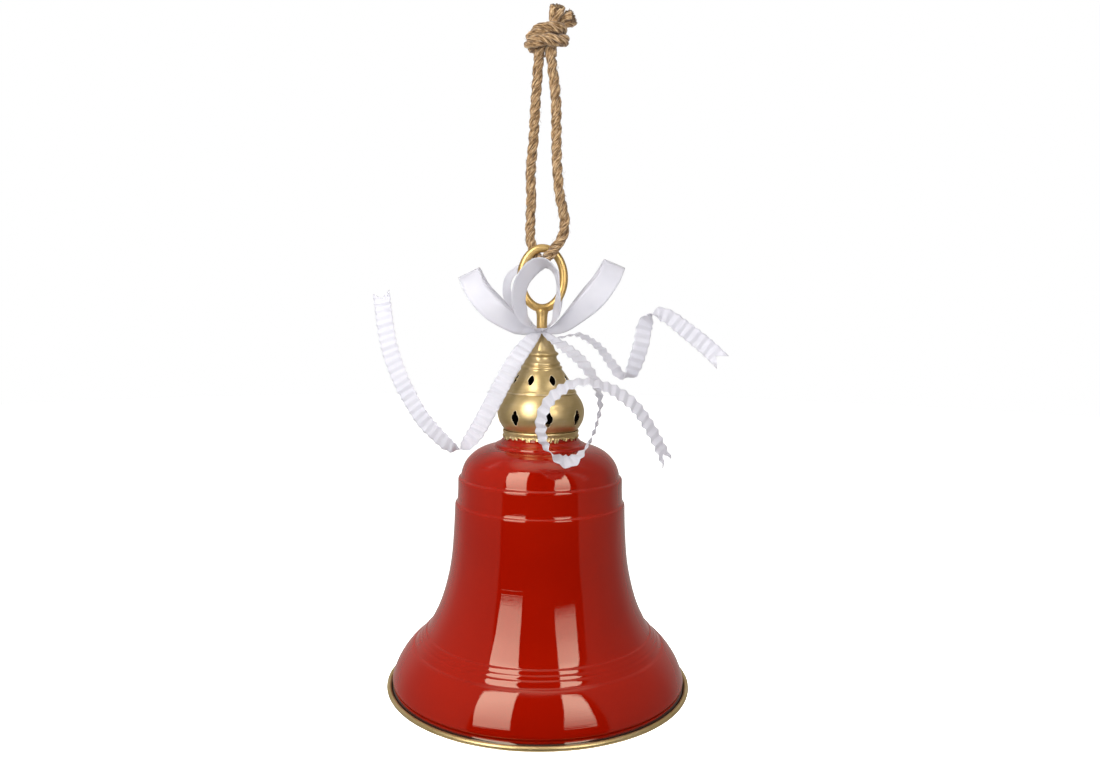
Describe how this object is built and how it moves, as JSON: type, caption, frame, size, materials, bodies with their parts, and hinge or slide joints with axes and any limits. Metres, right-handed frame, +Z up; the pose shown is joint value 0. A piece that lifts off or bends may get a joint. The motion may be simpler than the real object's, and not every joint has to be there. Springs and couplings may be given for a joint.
{
  "type": "christmas bell ornament",
  "caption": "Hanging christmas bell: flared spun bell with rolled rim, pierced gilt crown, hanging ring, clapper, ribbon bow with curled streamers, and a knotted rope loop.",
  "frame": {"origin": "inside the top of the rope loop, right under the knot, where a hook carries the bell", "axes": "+Z up along the bell's axis, -Y towards the front of the bow, +X to the right seen from the front"},
  "size_m": [0.2497, 0.22, 0.4837],
  "materials": {
    "red_enamel": "high gloss",
    "gold_paint": "satin gilt",
    "zinc_steel": "zinc plated",
    "jute": "twisted natural fibre",
    "ribbon": "satin paper ribbon"
  },
  "bodies": {
    "rope": {"rope_loop": "jute", "rope_knot": "jute", "rope_tail_up": "jute", "rope_tail_side": "jute"},
    "bell": {"hanger_eye_rod": "gold_paint", "crown_cone": "gold_paint", "crown_bulb": "gold_paint", "crown_collar": "gold_paint", "bell_shell": "red_enamel", "rim_bead": "gold_paint", "inner_washer": "zinc_steel", "inner_nut": "zinc_steel", "clapper_eye_nut": "zinc_steel"},
    "bow": {"bow_tie": "ribbon", "bow_loop_left": "ribbon", "bow_loop_right": "ribbon", "bow_loop_front": "ribbon", "bow_loop_back": "ribbon", "streamer_left": "ribbon", "streamer_right": "ribbon", "streamer_front": "ribbon"},
    "link": {"clapper_link": "zinc_steel"},
    "clapper": {"clapper_rod": "zinc_steel", "clapper_ball": "zinc_steel", "clapper_nut": "zinc_steel"}
  },
  "joints": [
    {"name": "bell_swing", "type": "hinge", "parent": "rope", "child": "bell", "pos_m": [0, 0, -0.1298], "axis": [1, 0, 0], "range_deg": [-20, 20]},
    {"name": "bow_turn", "type": "hinge", "parent": "bell", "child": "bow", "pos_m": [0, 0, -0.188], "axis": [0, 0, 1], "range_deg": [-10, 10]},
    {"name": "link_swing", "type": "hinge", "parent": "bell", "child": "link", "pos_m": [0, 0, -0.2985], "axis": [1, 0, 0], "range_deg": [-6, 6]},
    {"name": "clapper_swing", "type": "hinge", "parent": "link", "child": "clapper", "pos_m": [0, 0, -0.3073], "axis": [0, 1, 0], "range_deg": [-31, 31]}
  ]
}
